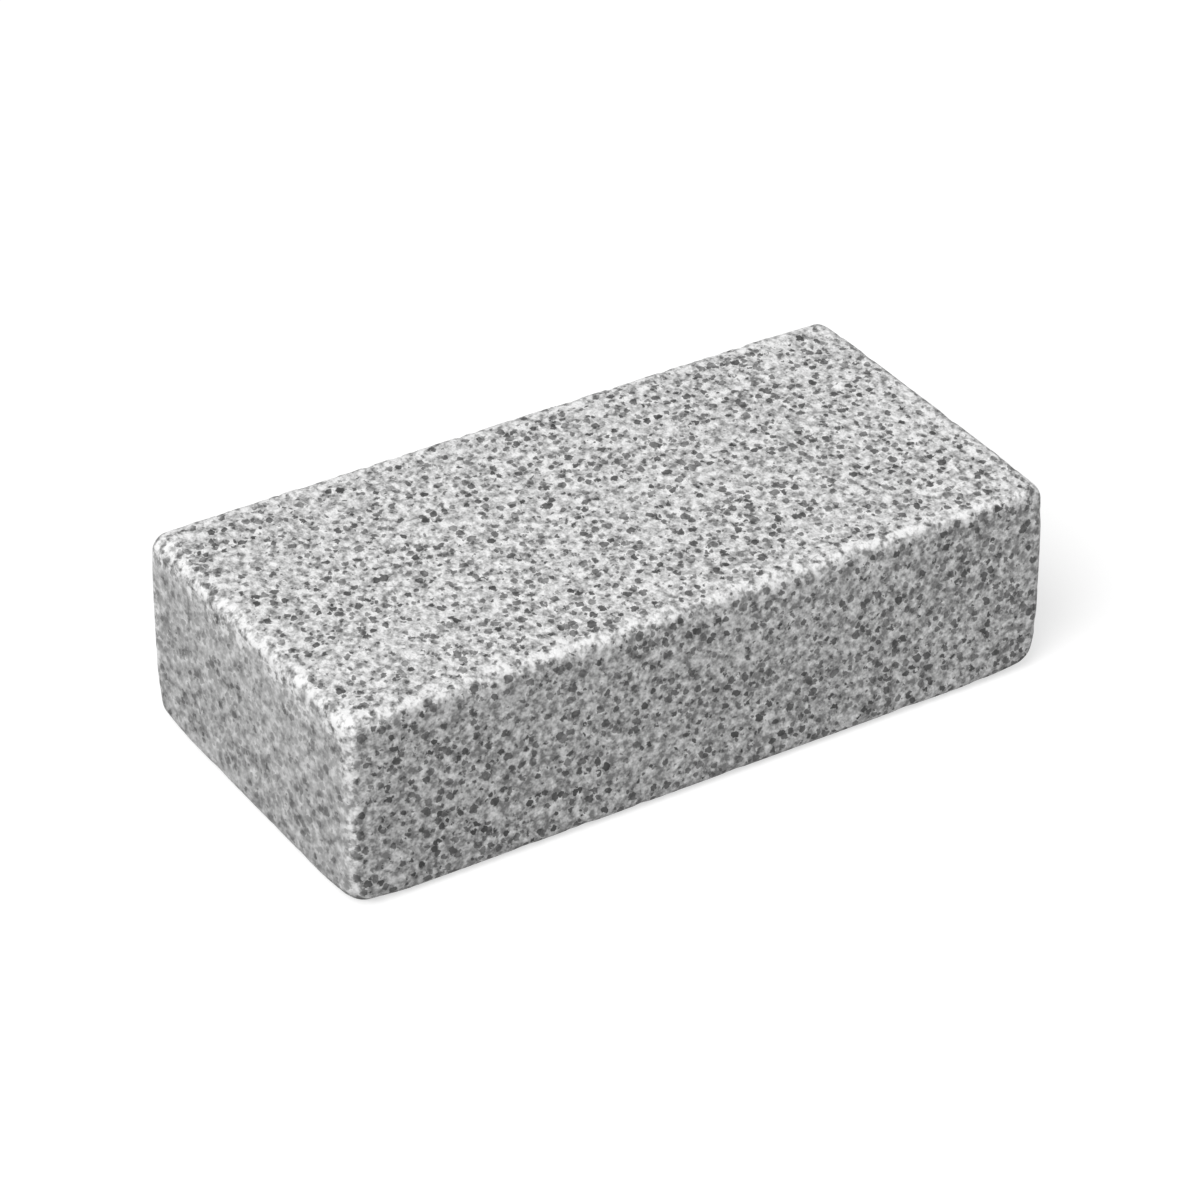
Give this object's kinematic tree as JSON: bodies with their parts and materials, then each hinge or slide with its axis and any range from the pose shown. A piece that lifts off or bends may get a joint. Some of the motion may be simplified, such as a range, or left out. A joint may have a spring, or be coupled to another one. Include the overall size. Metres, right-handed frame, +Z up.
{
  "type": "granite sett",
  "caption": "Oblong sett of light grey granite with a roughened tread, sawn sides and worn arrises, laid on bedding beside others to pave ground.",
  "frame": {"origin": "middle of the bed, the underside that lies on the ground", "axes": "+X along the length, +Y across the width, +Z up through the thickness to the tread"},
  "size_m": [0.2, 0.1, 0.054],
  "materials": {
    "granite": "bush-hammered tread, sawn sides, tumbled arrises, matt"
  },
  "bodies": {
    "root": {"granite_sett": "granite"}
  },
  "joints": []
}
